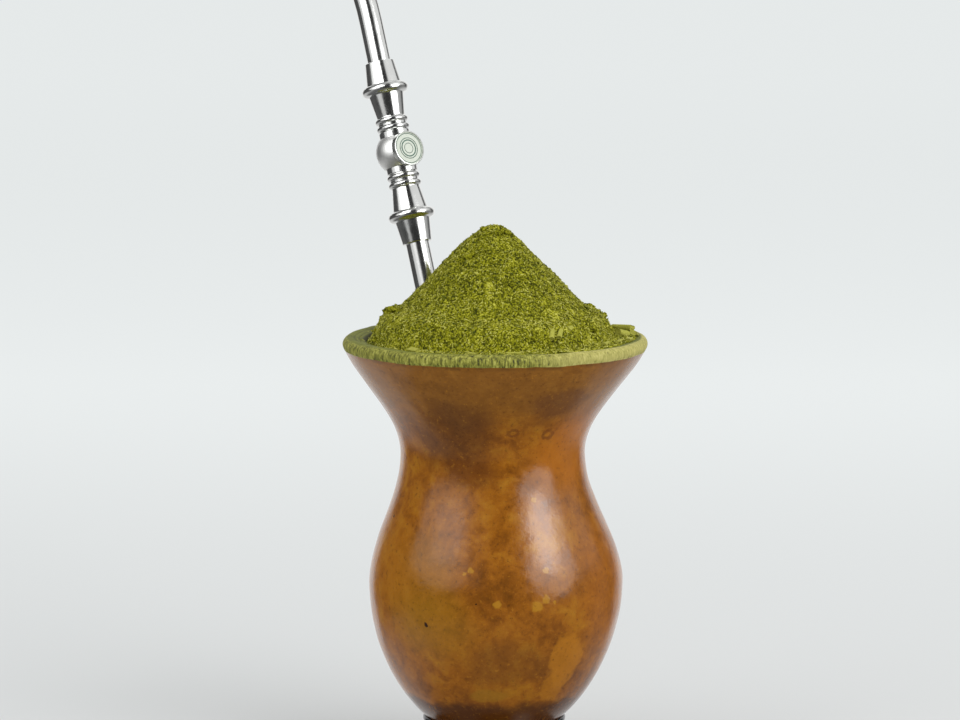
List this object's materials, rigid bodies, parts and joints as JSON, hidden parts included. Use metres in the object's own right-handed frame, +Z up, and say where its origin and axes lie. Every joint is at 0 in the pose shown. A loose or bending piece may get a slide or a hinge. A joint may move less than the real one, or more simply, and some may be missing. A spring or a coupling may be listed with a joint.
{
  "type": "mate gourd drink",
  "caption": "Hourglass calabash cup on a black turned foot, heaped with ground yerba mate, with a ringed steel drinking straw leaning out of the heap.",
  "frame": {"origin": "middle of the foot's underside, on the gourd's axis", "axes": "+Z up; the front of the cup faces -Y, and the straw leans towards -X and +Y"},
  "size_m": [0.1288, 0.1099, 0.3087],
  "materials": {
    "foot_black": "gloss",
    "varnished_gourd": "gloss",
    "ground_mate": "matte",
    "straw_steel": "polished",
    "medallion_face": "satin"
  },
  "bodies": {
    "root": {"foot": "foot_black", "gourd": "varnished_gourd", "mate_heap": "ground_mate", "straw_tube": "straw_steel", "mouthpiece": "straw_steel", "lower_sleeve": "straw_steel", "upper_sleeve": "straw_steel", "ball": "straw_steel", "medallion": "medallion_face"}
  },
  "joints": []
}
